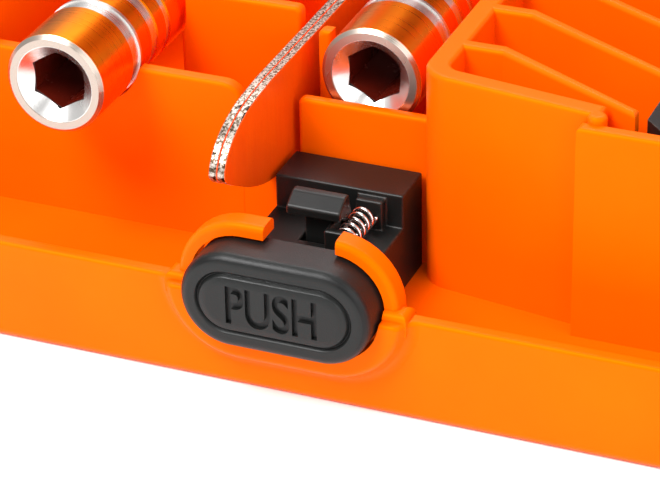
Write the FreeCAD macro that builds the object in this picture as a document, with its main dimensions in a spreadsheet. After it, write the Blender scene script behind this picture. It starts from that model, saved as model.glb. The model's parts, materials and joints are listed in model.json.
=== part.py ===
"""Precision screwdriver set in a hinged case.

Millimetres. X runs to the right and Y from the front to the back, both measured from the middle of the
case. Z runs up from the underside. The lid is modelled open, leaning back on its stop.
"""
import math
import os
import re

import FreeCAD
import Part

SIZES = {
    # case
    "case_width": 132.0, "case_depth": 120.0, "case_height": 43.0, "case_corner": 6.0, "case_edge": 0.7,
    "base_rim": 8.3, "base_wall": 1.2, "base_floor": 1.4,
    "lid_wall": 1.6, "lid_edge": 3.0, "lid_open": 97.0, "lid_rim_gap": 0.1,
    "pad_depth": 3.0, "pad_margin": 6.0,
    # hinge
    "hinge_out": 2.7, "knuckle_radius": 2.5, "pin_radius": 1.0, "pin_play": 0.06,
    "hinge_span": 84.0, "knuckle_play": 0.3, "knuckle_count": 5, "web_high": 3.5, "web_low": 0.4,
    # push button and the boss that it runs in
    "button_half": 7.28, "button_radius": 3.77, "button_level": 8.65, "button_out": 3.0, "button_depth": 3.8,
    "button_play": 0.22, "button_travel": 1.6,
    "button_groove": 1.25, "groove_width": 0.35, "groove_depth": 0.25,
    "boss_out": 1.3, "boss_rim": 2.3, "boss_taper": 0.9, "boss_fillet": 1.0,
    "lug_rise": 0.6, "lug_reach": 9.3, "lug_soft": 0.5, "lid_play": 0.3,
    "collar_rim": 1.0, "collar_out": 0.1, "collar_back": 1.9, "collar_gap_left": 1.7,
    "collar_gap_right": 3.8, "collar_soft": 0.45,
    "stem_half": 2.0, "stem_low": 6.4, "stem_high": 8.6, "stem_end": 8.6,
    # catch, its housing and spring
    "catch_half": 2.1, "nose_front": 5.0, "nose_low": 12.1, "nose_high": 12.8, "catch_top": 13.55,
    "crease_back": 1.2, "neck_front": 6.3, "neck_back": 7.6, "neck_half": 1.2, "catch_back": 6.9,
    "ear_reach": 3.3, "ear_front": 4.3, "ear_thick": 0.6, "ear_low": 9.8, "ear_high": 11.7,
    "housing_half": 5.05, "housing_front": 4.05, "housing_step": 10.0, "housing_back": 14.0,
    "platform_top": 9.6, "housing_top": 12.3, "housing_play": 0.3,
    "spring_radius": 0.8, "spring_wire": 0.3, "spring_side": 2.5, "spring_level": 10.8, "spring_turns": 5,
    "stop_front": 9.2, "stop_left": 1.6, "stop_right": 3.7, "stop_top": 11.9,
    # lid hook
    "hook_left": 0.9, "hook_right": 0.8, "hook_front": 2.4, "hook_thick": 1.3, "hook_low": 10.1,
    "hook_reach": 0.8, "hook_grip": 0.15,
    # tray insert
    "tray_play": 0.15, "tray_floor": 4.4, "tray_plate": 1.4, "tray_wall": 1.3, "tray_top": 21.2,
    "tray_inset": 3.0, "wall_corner": 1.9, "wall_soft": 0.35, "rim_soft": 0.3,
    "cradle_first": 45.0, "cradle_second": 70.0, "cradle_third": 85.0,
    "cradle_thick": 2.0,
    "step_front": 12.5, "step_top": 17.7, "step_end": 8.5,
    "second_front": 21.0, "second_left": 17.5, "slot_wall": 1.2, "slot_top": 20.5, "slot_floor": 11.0,
    "slot_half": 1.2, "slot_side_top": 15.0, "divider_front": 18.0,
    "middle_front": 14.4, "middle_thick": 1.0, "middle_top": 16.5, "middle_corner": 0.5,
    "bin_left": 5.6, "bin_wall": 1.75, "bin_front": 11.6, "bin_slant": 2.1, "bin_top": 21.8,
    "bin_corner": 2.6, "bin_inner": 1.2,
    "pilaster_left": 18.6, "pilaster_front": 8.2, "knob_radius": 0.7,
    "fin_first": 17.3, "fin_pitch": 6.6, "fin_stub": 2.9, "fin_reach": 11.9, "fin_angle": 28.0,
    "fin_thick": 1.2, "left_bin": 31.2, "back_margin": 7.0,
    # driver handle and extension
    "tool_radius": 3.95, "tool_level": 18.5, "tool_play": 0.15, "tool_chamfer": 0.3,
    "handle_side": 21.1, "handle_front": 6.5, "handle_gap": 13.5,
    "cap_length": 12.0, "cap_gap": 0.15, "journal_radius": 1.5, "journal_play": 0.05, "journal_length": 9.0,
    "bush_length": 7.0, "tube_step": 0.4, "head_length": 1.8, "head_rim": 0.6,
    "extension_side": 0.4, "extension_front": 15.5, "extension_gap": 19.5, "shank_length": 13.0,
    "shank_grip": 8.0,
    "insert_radius": 3.1, "insert_length": 14.0, "hex_across": 4.06, "hex_depth": 9.0, "hex_sink": 0.9,
    "insert_face": 0.05,
    "magnet_radius": 1.75, "magnet_length": 4.0,
    "grip_step": 0.15, "band_depth": 0.12, "band_one": 5.3, "band_one_end": 6.9, "band_two": 8.9,
    "band_two_end": 10.1, "band_three": 11.5, "band_three_end": 12.3,
    # tweezers
    "blade_thick": 0.65, "blade_seam": 6.2, "blade_top": 19.5, "blade_low": 11.2, "blade_margin": 9.0,
    "blade_tip": 2.2, "tip_top": 16.6, "tip_low": 15.8,
    # bit racks and bits
    "rack_left": 22.75, "rack_top": 21.0, "rack_play": 0.4, "rack_front": 10.2, "rack_chamfer": 1.4,
    "bit_across": 4.0, "bit_length": 28.0, "bit_play": 0.1, "bit_seat": 8.0, "bit_grip": 12.0,
    "bit_shaft": 1.6, "bit_pitch": 8.0, "bit_tip": 4.0, "flat_thick": 0.8, "point_radius": 0.25,
}

NAMES = re.compile(r"\b(" + "|".join(SIZES) + r")\b")
FRONT = "-case_depth/2"

# places measured from the front of the case
BIN_BACK = "(case_depth-back_margin)"
BLADE_END = "(case_depth-blade_margin)"
HANDLE_BACK = "(case_depth-handle_gap)"
SLEEVE_BACK = f"({HANDLE_BACK}-cap_length-cap_gap)"
EXTENSION_BACK = "(case_depth-extension_gap-shank_length)"
GRIP = "tool_radius-grip_step"

doc = FreeCAD.newDocument("precision_screwdriver_set")
sheet = doc.addObject("Spreadsheet::Sheet", "Sizes")
for row, (alias, number) in enumerate(SIZES.items(), start=1):
    sheet.set(f"A{row}", alias)
    sheet.set(f"B{row}", str(number))
    sheet.setAlias(f"B{row}", alias)
doc.recompute()


def value(expression):
    """The number that an expression in named sizes gives."""
    total = doc.Sizes.evalExpression(NAMES.sub(r"Sizes.\1", expression))
    return float(getattr(total, "Value", total))


def bind(item, prop, expression):
    item.setExpression(prop, NAMES.sub(r"Sizes.\1", expression))


def place(item, x, y, z):
    for axis, expression in zip("xyz", (x, y, z)):
        bind(item, f"Placement.Base.{axis}", expression)
    return item


def block(name, x0, x1, y0, y1, z0, z1):
    """A box between two corners; y is measured from the front of the case."""
    item = doc.addObject("Part::Box", name)
    place(item, x0, f"{FRONT}+({y0})", z0)
    bind(item, "Length", f"({x1})-({x0})")
    bind(item, "Width", f"({y1})-({y0})")
    bind(item, "Height", f"({z1})-({z0})")
    return item


def rod(name, x, y0, y1, z, radius):
    """A cylinder along Y; y is measured from the front of the case."""
    item = doc.addObject("Part::Cylinder", name)
    item.Placement.Rotation = FreeCAD.Rotation(FreeCAD.Vector(1, 0, 0), -90)
    place(item, x, f"{FRONT}+({y0})", z)
    bind(item, "Radius", radius)
    bind(item, "Height", f"({y1})-({y0})")
    return item


def cone(name, x, y0, y1, z, radius0, radius1):
    item = doc.addObject("Part::Cone", name)
    item.Placement.Rotation = FreeCAD.Rotation(FreeCAD.Vector(1, 0, 0), -90)
    place(item, x, f"{FRONT}+({y0})", z)
    bind(item, "Radius1", radius0)
    bind(item, "Radius2", radius1)
    bind(item, "Height", f"({y1})-({y0})")
    return item


def cross_rod(name, x0, x1, y, z, radius):
    """A cylinder along X; y is measured from the middle of the case."""
    item = doc.addObject("Part::Cylinder", name)
    item.Placement.Rotation = FreeCAD.Rotation(FreeCAD.Vector(0, 1, 0), 90)
    place(item, x0, y, z)
    bind(item, "Radius", radius)
    bind(item, "Height", f"({x1})-({x0})")
    return item


def post(name, x, y, z0, z1, radius):
    item = doc.addObject("Part::Cylinder", name)
    place(item, x, f"{FRONT}+({y})", z0)
    bind(item, "Radius", radius)
    bind(item, "Height", f"({z1})-({z0})")
    return item


def hex_rod(name, x, y0, y1, z, across):
    item = doc.addObject("Part::Prism", name)
    item.Polygon = 6
    item.Placement.Rotation = (FreeCAD.Rotation(FreeCAD.Vector(1, 0, 0), -90)
                               * FreeCAD.Rotation(FreeCAD.Vector(0, 0, 1), 30))
    place(item, x, f"{FRONT}+({y0})", z)
    bind(item, "Circumradius", f"({across})/sqrt(3)")
    bind(item, "Height", f"({y1})-({y0})")
    return item


def fuse(name, pieces):
    item = doc.addObject("Part::MultiFuse", name)
    item.Shapes = pieces
    item.Refine = True
    return item


def cut(name, base, tools):
    item = doc.addObject("Part::Cut", name)
    item.Base = base
    item.Tool = tools[0] if len(tools) == 1 else fuse(f"{name}_tools", tools)
    item.Refine = True
    return item


def fillet(name, base, radius, wanted):
    """Rounds the edges that wanted(edge) picks."""
    doc.recompute()
    item = doc.addObject("Part::Fillet", name)
    item.Base = base
    picked = [number for number, edge in enumerate(base.Shape.Edges, start=1) if wanted(edge)]
    item.Edges = [(number, value(radius), value(radius)) for number in picked]
    return item


def along(axis):
    """Picks straight edges that run along an axis."""
    def wanted(edge):
        first, last = edge.Vertexes[0].Point, edge.Vertexes[-1].Point
        span = last - first
        return span.Length > 1e-6 and abs(span.normalize().dot(axis)) > 0.999
    return wanted


def at_level(level):
    """Picks edges that lie wholly at one height."""
    def wanted(edge):
        return abs(edge.BoundBox.ZMin - level) < 1e-4 and abs(edge.BoundBox.ZMax - level) < 1e-4
    return wanted


UP = FreeCAD.Vector(0, 0, 1)
nodes = []


def finish(item, label, placement=None):
    item.Label = label
    if placement is not None:
        item.Placement = placement
    nodes.append(item)
    return item


def rounded_box(name, x, y0, y1, z0, z1, corner):
    """A box centred on X with its four upright edges rounded."""
    return fillet(f"{name}_rounded", block(name, f"-({x})", x, y0, y1, z0, z1), corner, along(UP))


def obround(name, half, radius, y0, y1, level="button_level"):
    """A slot shape that lies along X and runs front to back."""
    middle = block(f"{name}_middle", f"-({half}-({radius}))", f"{half}-({radius})", y0, y1,
                   f"{level}-({radius})", f"{level}+({radius})")
    ends = [rod(f"{name}_end_{side}", f"{sign}({half}-({radius}))", y0, y1, level, radius)
            for side, sign in (("left", "-"), ("right", ""))]
    return fuse(name, [middle] + ends)


def obround_taper(name, half, radius0, radius1, y0, y1):
    """An obround that is radius0 at y0 and radius1 at y1."""
    pieces = [cone(f"{name}_end_{side}", f"{sign}({half})", y0, y1, "button_level", radius0, radius1)
              for side, sign in (("left", "-"), ("right", ""))]
    wedge = doc.addObject("Part::Wedge", f"{name}_middle")
    wedge.Placement.Rotation = FreeCAD.Rotation(0, 0, 0)
    place(wedge, "0", f"{FRONT}+({y0})", "button_level")
    for prop, expression in (("Xmin", f"-({half})"), ("Xmax", half), ("X2min", f"-({half})"), ("X2max", half),
                             ("Zmin", f"-({radius0})"), ("Zmax", radius0), ("Z2min", f"-({radius1})"),
                             ("Z2max", radius1), ("Ymin", "0"), ("Ymax", f"({y1})-({y0})")):
        bind(wedge, prop, expression)
    return fuse(name, [wedge] + pieces)


def body_profile(name, plane, points, depth, both_ways=False, curved=()):
    """A PartDesign body: a closed outline on one of its origin planes, padded.

    The outline is straight between its points; where curved is given, a smooth curve through those points
    closes it, from the last straight point to the first.
    """
    body = doc.addObject("PartDesign::Body", name)
    sketch = body.newObject("Sketcher::SketchObject", f"{name}_outline")
    origin_plane = next(item for item in body.Origin.OriginFeatures if item.Role == plane)
    sketch.AttachmentSupport = [(origin_plane, "")]
    sketch.MapMode = "FlatFace"
    corners = [FreeCAD.Vector(a, b, 0) for a, b in points]
    straight = corners + corners[:1]
    if curved:
        bow = Part.BSplineCurve()
        bow.interpolate([FreeCAD.Vector(a, b, 0) for a, b in curved])
        sketch.addGeometry(bow, False)
        straight = corners
    for start, end in zip(straight, straight[1:]):
        sketch.addGeometry(Part.LineSegment(start, end), False)
    pad = body.newObject("PartDesign::Pad", f"{name}_pad")
    pad.Profile = sketch
    pad.Midplane = both_ways
    bind(pad, "Length", depth)
    body.Tip = pad
    return body


HINGE_Y = "case_depth/2+hinge_out"
KNUCKLE = "(hinge_span/knuckle_count)"
BASE_KNUCKLES = range(0, int(value("knuckle_count")), 2)
LID_KNUCKLES = range(1, int(value("knuckle_count")), 2)


def knuckles(name, wanted, rim_low, rim_high):
    """The knuckles with the numbers in wanted, each with the web that ties it to its wall."""
    pieces = []
    for number in wanted:
        start = f"-hinge_span/2+{number}*{KNUCKLE}+knuckle_play/2"
        end = f"-hinge_span/2+{number + 1}*{KNUCKLE}-knuckle_play/2"
        pieces.append(cross_rod(f"{name}_{number}", start, end, HINGE_Y, "base_rim", "knuckle_radius"))
        pieces.append(block(f"{name}_web_{number}", start, end, "case_depth-0.6", "case_depth+hinge_out",
                            rim_low, rim_high))
    return pieces


def knuckle_rooms(name, wanted):
    """The room that the other half's knuckles turn in, for the slots with the numbers in wanted."""
    return fuse(name, [cross_rod(f"{name}_{number}", f"-hinge_span/2+{number}*{KNUCKLE}-knuckle_play/2",
                                 f"-hinge_span/2+{number + 1}*{KNUCKLE}+knuckle_play/2", HINGE_Y, "base_rim",
                                 "knuckle_radius+knuckle_play") for number in wanted])


def hinge_bore(name):
    return cross_rod(name, "-hinge_span", "hinge_span", HINGE_Y, "base_rim", "pin_radius+pin_play")


def base_shell():
    outer = rounded_box("base_outer", "case_width/2", "0", "case_depth", "0", "base_rim", "case_corner")
    outer = fillet("base_soft", outer, "case_edge", at_level(0.0))
    inner = rounded_box("base_inner", "case_width/2-base_wall", "base_wall", "case_depth-base_wall",
                        "base_floor", "base_rim+5", "case_corner-base_wall")
    shell = cut("base_tub", outer, [inner])
    straight = "button_half-button_radius"
    boss_radius = "button_radius+button_play+boss_rim"
    boss = obround_taper("boss", straight, f"{boss_radius}-boss_taper", boss_radius, "-boss_out", "0.3")
    boss = fillet("boss_soft", boss, "lug_soft",
                  lambda edge: abs(edge.BoundBox.YMin - value(f"{FRONT}-boss_out")) < 1e-4
                  and edge.BoundBox.YLength < 1e-4)
    above = block("boss_above", "-case_width/4", "case_width/4", "-5", "5", "base_rim", "base_rim+20")
    lower_boss = cut("boss_lower", boss, [above])
    lug = block("boss_lug", "-lug_reach", "lug_reach", "-boss_out/2", "base_wall", "base_rim-1",
                "base_rim+lug_rise")
    lug = fillet("boss_lug_soft", lug, "lug_soft", at_level(value("base_rim+lug_rise")))
    ring = obround("collar", f"{straight}+button_radius+button_play+collar_rim",
                   "button_radius+button_play+collar_rim", "-collar_out", "collar_back")
    ring = fillet("collar_soft_edge", ring, "collar_soft", lambda edge: True)
    gap = block("collar_gap", "-collar_gap_left", "collar_gap_right", "-5", "5", "button_level+2",
                "button_level+20")
    low_ring = block("collar_low", "-20", "20", "-5", "5", "-5", "base_floor+1")
    collar = cut("collar_prongs", ring, [gap, low_ring])
    bore = obround("button_bore", "button_half+button_play", "button_radius+button_play", "-5", "5")
    front_y = value(FRONT)
    joined = fuse("base_front", [shell, lower_boss])
    joined = fillet("boss_blend", joined, "boss_fillet",
                    lambda edge: abs(edge.BoundBox.YMin - front_y) < 1e-3
                    and abs(edge.BoundBox.YMax - front_y) < 1e-3
                    and edge.BoundBox.XLength < value("4*boss_rim+2*button_half")
                    and edge.BoundBox.ZMax < value("base_rim+0.01")
                    and edge.BoundBox.ZMin > value("case_edge+0.1"))
    joined = fillet("base_rim_soft", joined, "rim_soft",
                    lambda edge: at_level(value("base_rim"))(edge) and edge.Length > value("case_corner")
                    and abs(edge.BoundBox.Center.y) > value("case_depth/2-base_wall-0.1")
                    and edge.BoundBox.YLength < 1e-4)
    body = fuse("base_body", [joined, lug, collar] + knuckles("base_knuckle", BASE_KNUCKLES,
                                                             "base_rim-web_high", "base_rim-web_low"))
    hollow = knuckle_rooms("lid_knuckle_rooms", LID_KNUCKLES)
    return finish(cut("base_shell", body, [bore, hinge_bore("base_hinge_bore"), hollow]), "base_shell")


def lid_placement():
    """Swings a lid piece from shut to open about the hinge pin."""
    centre = FreeCAD.Vector(0, value(HINGE_Y), value("base_rim"))
    return FreeCAD.Placement(FreeCAD.Vector(), FreeCAD.Rotation(FreeCAD.Vector(1, 0, 0),
                                                               -value("lid_open")), centre)


def lid_shell():
    low = "base_rim+lid_rim_gap"
    outer = rounded_box("lid_outer", "case_width/2", "0", "case_depth", low, "case_height", "case_corner")
    outer = fillet("lid_soft", outer, "lid_edge", at_level(value("case_height")))
    inner = rounded_box("lid_inner", "case_width/2-lid_wall", "lid_wall", "case_depth-lid_wall",
                        "base_rim-5", "case_height-lid_wall", "case_corner-lid_wall")
    inner = fillet("lid_inner_soft", inner, "lid_edge-lid_wall", at_level(value("case_height-lid_wall")))
    shell = fillet("lid_rim_soft", cut("lid_tub", outer, [inner]), "rim_soft", at_level(value(low)))
    collar_room = obround("collar_room", "button_half+button_play+collar_rim+lid_play",
                          "button_radius+button_play+collar_rim+lid_play", "-5", "collar_back+lid_wall")
    lug_room = block("lug_room", "-lug_reach-lid_play", "lug_reach+lid_play", "-5", "5", "0",
                     "base_rim+lug_rise+lid_play")
    stalk = block("hook_stalk", "-hook_left", "hook_right", "hook_front", "hook_front+hook_thick",
                  "hook_low", "case_height-lid_wall+0.2")
    barb = block("hook_barb", "-hook_left", "hook_right", "hook_front", "nose_front+hook_reach",
                 "hook_low", "nose_low-hook_grip")
    rib = block("hook_rib", "-hook_left", "hook_right", "lid_wall/2", "hook_front+hook_thick",
                "nose_high+3", "case_height-lid_wall+0.2")
    room = knuckle_rooms("base_knuckle_rooms", BASE_KNUCKLES)
    opened = cut("lid_notched", shell, [collar_room, lug_room])
    joined = fuse("lid_joined", [opened, stalk, barb, rib]
                  + knuckles("lid_knuckle", LID_KNUCKLES, "base_rim+web_low", "base_rim+web_high"))
    return finish(cut("lid_shell", joined, [hinge_bore("lid_hinge_bore"), room]), "lid_shell",
                  lid_placement())


def lid_pad():
    pad = block("lid_pad_block", "-case_width/2+pad_margin", "case_width/2-pad_margin", "pad_margin",
                "case_depth-pad_margin", "case_height-lid_wall-pad_depth", "case_height-lid_wall-0.02")
    soft = fillet("lid_pad", pad, "pad_margin/2", along(UP))
    return finish(soft, "lid_pad", lid_placement())


def hinge_pin():
    return finish(cross_rod("hinge_pin", "-hinge_span/2", "hinge_span/2", HINGE_Y, "base_rim",
                            "pin_radius"), "hinge_pin")


def button_cap():
    plate = obround("cap_plate", "button_half", "button_radius", "-button_out", "button_depth-button_out")
    groove = obround("cap_groove_outer", "button_half-button_groove", "button_radius-button_groove",
                     "-button_out-1", "-button_out+groove_depth")
    pillow = obround("cap_groove_inner", "button_half-button_groove-groove_width",
                     "button_radius-button_groove-groove_width", "-button_out-2", "-button_out+1")
    line = cut("cap_groove", groove, [pillow])
    socket = block("cap_socket", "-stem_half", "stem_half", "0", "button_depth", "stem_low", "stem_high")
    return finish(cut("button_cap", plate, [line, socket]), "button_cap")


def latch_slider():
    profile = [("nose_front", "nose_low"), ("nose_front", "nose_high"),
               ("nose_front+crease_back", "catch_top"), ("catch_back", "catch_top"),
               ("neck_back", "nose_low-1"), ("neck_back", "stem_low"), ("neck_front", "stem_low"),
               ("neck_front", "nose_low")]
    points = [(value(f"{FRONT}+{y}"), value(z)) for y, z in profile]
    whole = body_profile("catch_whole", "YZ_Plane", points, "2*catch_half", both_ways=True)
    flanks = [block(f"catch_flank_{side}", low, high, "0", "housing_back", "0", "nose_low-0.3")
              for side, low, high in (("left", "-5", "-neck_half"), ("right", "neck_half", "5"))]
    head = cut("catch_head", whole, flanks)
    stem = block("catch_stem", "-stem_half", "stem_half", "0", "stem_end", "stem_low", "stem_high")
    ear = block("catch_ear", "neck_half-0.1", "ear_reach", "ear_front", "ear_front+ear_thick", "ear_low",
                "ear_high")
    web = block("catch_web", "neck_half-0.1", "neck_half+0.25", "ear_front", "neck_front+0.5", "ear_low",
                "ear_high")
    return finish(fuse("latch_slider", [head, stem, ear, web]), "latch_slider")


def latch_housing():
    low = block("housing_low", "-housing_half", "housing_half", "housing_front", "housing_back",
                "tray_floor", "platform_top")
    high = block("housing_high", "-housing_half", "housing_half", "housing_step", "housing_back",
                 "platform_top-1", "housing_top")
    tunnel = block("housing_tunnel", "-stem_half-housing_play", "stem_half+housing_play",
                   "housing_front-1", "stem_end+button_travel+housing_play", "stem_low-housing_play",
                   "stem_high+housing_play")
    window = block("housing_window", "-neck_half-housing_play", "neck_half+housing_play",
                   "neck_front-housing_play", "neck_back+button_travel+housing_play", "stem_high",
                   "housing_top+5")
    stop = block("spring_stop", "stop_left", "stop_right", "stop_front", "housing_step+0.5",
                 "platform_top-0.5", "stop_top")
    return finish(cut("latch_housing", fuse("housing_body", [low, high, stop]), [tunnel, window]),
                  "latch_housing")


def latch_spring():
    """A compression coil between the slider's ear and the tall part of the housing."""
    gap = value("stop_front-ear_front-ear_thick")
    wire = value("spring_wire")
    turns = value("spring_turns")
    helix = Part.makeHelix((gap - wire) / turns, gap - wire, value("spring_radius"))
    ring = Part.Wire([Part.makeCircle(wire / 2, FreeCAD.Vector(value("spring_radius"), 0, 0),
                                      FreeCAD.Vector(0, 1, 0))])
    coil = Part.Wire(helix.Edges).makePipeShell([ring], True, True)
    item = doc.addObject("Part::Feature", "latch_spring")
    item.Shape = coil
    side = value("spring_side")
    start = value(f"{FRONT}+ear_front+ear_thick+spring_wire/2")
    item.Placement = FreeCAD.Placement(FreeCAD.Vector(side, start, value("spring_level")),
                                       FreeCAD.Rotation(FreeCAD.Vector(1, 0, 0), -90))
    return finish(item, "latch_spring")


def tool_rest(name, side, low, high):
    """Cuts that leave a half-round seat for the handle or extension in every cross wall."""
    seat = rod(f"{name}_seat", side, low, high, "tool_level", "tool_radius+tool_play")
    mouth = block(f"{name}_mouth", f"{side}-tool_radius-tool_play", f"{side}+tool_radius+tool_play",
                  low, high, "tool_level", "tool_level+10")
    return [seat, mouth]


def bin_front():
    """The slanted front wall of the right bin, from its rounded corner to the pilaster."""
    thick = value("bin_wall")
    left, right = value("bin_left"), value("pilaster_left+tray_wall")
    near, far = value(f"{FRONT}+bin_front"), value(f"{FRONT}+bin_front-bin_slant")
    points = [(left, near), (right, far), (right, far + thick), (left, near + thick)]
    wall = body_profile("bin_front_wall", "XY_Plane", points, "bin_top")
    foot = block("bin_front_foot", "bin_left-5", "pilaster_left+5", "0", "30", "-1", "tray_floor-0.1")
    return cut("bin_front", wall, [foot])


def fin(name, number):
    """A thin rib that leaves the bin's left wall square, then slants to the front."""
    half = value("fin_thick/2")
    start = value("bin_left+bin_wall/2")
    bend = value("bin_left+bin_wall+fin_stub")
    level = value(f"{FRONT}+fin_first+{number}*fin_pitch")
    reach, slope = value("fin_reach"), math.radians(value("fin_angle"))
    tip = (bend + reach, level - reach * math.tan(slope))
    points = [(start, level - half), (bend, level - half), (tip[0], tip[1] - half * 0.8),
              (tip[0], tip[1] + half * 0.8), (bend, level + half), (start, level + half)]
    rib = body_profile(name, "XY_Plane", points, "bin_top")
    foot = block(f"{name}_foot", "bin_left-1", "case_width/2", "0", "case_depth", "-1", "tray_floor-0.1")
    return fillet(f"{name}_soft", cut(f"{name}_trim", rib, [foot]), "wall_soft",
                  at_level(value("bin_top")))


def wall(name, x0, x1, y0, y1, z0, z1):
    """A tray wall with its top edges rounded."""
    return fillet(f"{name}_soft", block(name, x0, x1, y0, y1, z0, z1), "wall_soft", at_level(value(z1)))


def near_edge(x, y, z):
    """Picks edges whose middle is at a place; a coordinate left as None is free."""
    def wanted(edge):
        middle = edge.BoundBox.Center
        return all(target is None or abs(place - target) < 0.02
                   for place, target in zip(middle, (x, y, z)))
    return wanted


def end_rounded(blank, x, level, corner="wall_corner"):
    """A wall with its top corner at x rounded, seen from the front, and its front and back edges softened."""
    shaped = fillet(f"{blank.Name}_round", blank, corner, near_edge(value(x), None, value(level)))
    return fillet(f"{blank.Name}_soft", shaped, "wall_soft",
                  lambda edge: edge.BoundBox.YLength < 1e-4 and edge.BoundBox.ZMax > value("step_front"))


def tray_insert():
    edge = "case_width/2-base_wall-tray_play"
    near, far = "base_wall+tray_play", "case_depth-base_wall-tray_play"
    plate = rounded_box("tray_plate_block", edge, near, far, "base_floor", "tray_floor",
                        "case_corner-base_wall-tray_play")
    hollow = block("tray_hollow", f"-({edge})+tray_wall", f"{edge}-tray_wall", f"{near}+5",
                   f"{far}-tray_wall", "0", "tray_floor-tray_plate")
    bottom = "tray_floor-0.1"
    last = f"{BIN_BACK}+tray_wall"
    left_edge, right_edge = "-case_width/2+tray_inset", "case_width/2-tray_inset"
    step_wall = block("step_wall", left_edge, "-step_end", "step_front", "step_front+tray_wall", bottom,
                      "step_top")
    middle_left = "-blade_seam+slot_half"
    divider_left, divider_right = "-blade_seam+slot_half+0.2", "extension_side-tool_radius-tool_play"
    divider_post = block("divider_post", divider_left, divider_right, "divider_front",
                         "divider_front+slot_wall", bottom, "slot_top")
    middle_wall = block("middle_wall", middle_left, "bin_left+0.5", "middle_front",
                        "middle_front+middle_thick", bottom, "middle_top")
    second_right = "-blade_seam-slot_half"
    second_wall = block("second_wall", "-second_left", second_right, "second_front",
                        "second_front+slot_wall", bottom, "slot_top")
    bin_walls = fuse("bin_walls", [bin_front(), block("bin_left_wall", "bin_left", "bin_left+bin_wall",
                                                      "bin_front", last, bottom, "bin_top")])
    bin_walls = fillet("bin_round", bin_walls, "bin_corner",
                       near_edge(value("bin_left"), value(f"{FRONT}+bin_front"), None))
    bin_walls = fillet("bin_inner_round", bin_walls, "bin_inner", lambda edge: along(UP)(edge) and abs(
        edge.BoundBox.Center.x - value("bin_left+bin_wall")) < 0.02 and edge.BoundBox.Center.y < 0)
    bin_walls = fillet("bin_soft", bin_walls, "wall_soft", at_level(value("bin_top")))
    knob = post("knob", "pilaster_left+tray_wall-0.2", "pilaster_front+tray_wall+0.2", bottom, "bin_top",
                "knob_radius")
    walls = [
        end_rounded(step_wall, "-step_end", "step_top"),
        end_rounded(middle_wall, middle_left, "middle_top", "middle_corner"),
        end_rounded(second_wall, second_right, "slot_top", "middle_corner"), bin_walls,
        wall("slot_left", f"{second_right}-slot_wall", second_right, "second_front", last, bottom,
              "slot_side_top"),
        block("slot_bed", "-step_end-0.2", "-blade_seam+slot_half+0.4", "step_front", last, bottom,
              "slot_floor"),
        wall("divider", divider_left, divider_right, "divider_front", last, bottom, "slot_side_top"),
        end_rounded(divider_post, divider_left, "slot_top", "middle_corner"),
        wall("pilaster", "pilaster_left", right_edge, "pilaster_front", "pilaster_front+tray_wall", bottom,
              "tray_top"),
        wall("bin_right_wall", f"{right_edge}-tray_wall", right_edge, "pilaster_front", last, bottom,
              "tray_top"),
        wall("back_wall", left_edge, right_edge, BIN_BACK, last, bottom, "tray_top"),
        wall("left_bin_wall", "-left_bin", "-left_bin+tray_wall", "step_front", last, bottom, "slot_top"),
        wall("outer_left_wall", left_edge, f"{left_edge}+tray_wall", "step_front", last, bottom,
              "tray_top"),
        fillet("knob_soft", knob, "wall_soft", at_level(value("bin_top"))),
    ]
    for number in ("first", "second", "third"):
        near_y, far_y = f"cradle_{number}", f"cradle_{number}+cradle_thick"
        walls.append(block(f"cradle_left_{number}", "-left_bin+0.5", f"{second_right}-0.5", near_y,
                           far_y, bottom, "step_top"))
        walls.append(block(f"cradle_right_{number}", "extension_side-tool_radius-0.5", "bin_left+0.5", near_y,
                           far_y, bottom, "middle_top"))
    fin_count = int(value(f"({BIN_BACK}-fin_first)/fin_pitch"))
    fins = [fin(f"fin_{number}", number) for number in range(fin_count)]
    body = fuse("tray_body", [cut("tray_plate_hollow", plate, [hollow])] + walls + fins)
    relief = block("latch_relief", "-housing_half-housing_play", "housing_half+housing_play",
                   "base_wall", "housing_back+housing_play", "tray_floor", "middle_top-3")
    seats = tool_rest("handle", "-handle_side", "step_front-5", f"{BIN_BACK}-1")
    seats += tool_rest("extension", "extension_side", "extension_front-0.1", f"{BIN_BACK}-1")
    button_room = obround("button_room", "button_half+button_play+collar_rim",
                          "button_radius+button_play+collar_rim", "0", "housing_front-0.6")
    return finish(cut("tray_insert", body, [relief, button_room] + seats), "tray_insert")


def tube(name, side, front, back, radius, bore):
    nose_end = f"{front}+band_one_end"
    nose = rod(f"{name}_nose", side, front, nose_end, "tool_level", radius)
    grip = rod(f"{name}_grip", side, nose_end, back, "tool_level", GRIP)
    outer = fuse(f"{name}_outer", [nose, grip])
    doc.recompute()
    soft = doc.addObject("Part::Chamfer", f"{name}_soft")
    soft.Base = outer
    ends = [value(f"{FRONT}+{end}") for end in (front, back)]
    rims = [number for number, edge in enumerate(outer.Shape.Edges, start=1)
            if any(abs(edge.BoundBox.YMin - end) + abs(edge.BoundBox.YMax - end) < 1e-3 for end in ends)]
    size = value("tool_chamfer")
    soft.Edges = [(number, size, size) for number in rims]
    hole = rod(f"{name}_bore", side, f"{front}-1", f"{back}+1", "tool_level", bore)
    bands = []
    for number, (start, end, level) in enumerate((("band_one", "band_one_end-0.3", radius),
                                                  ("band_two", "band_two_end", GRIP),
                                                  ("band_three", "band_three_end", GRIP))):
        ring = rod(f"{name}_band_ring_{number}", side, f"{front}+{start}", f"{front}+{end}", "tool_level",
                   f"{level}+1")
        core = rod(f"{name}_band_core_{number}", side, f"{front}+{start}-1", f"{front}+{end}+1",
                   "tool_level", f"{level}-band_depth")
        bands.append(cut(f"{name}_band_{number}", ring, [core]))
    return cut(name, soft, [hole] + bands)


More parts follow.
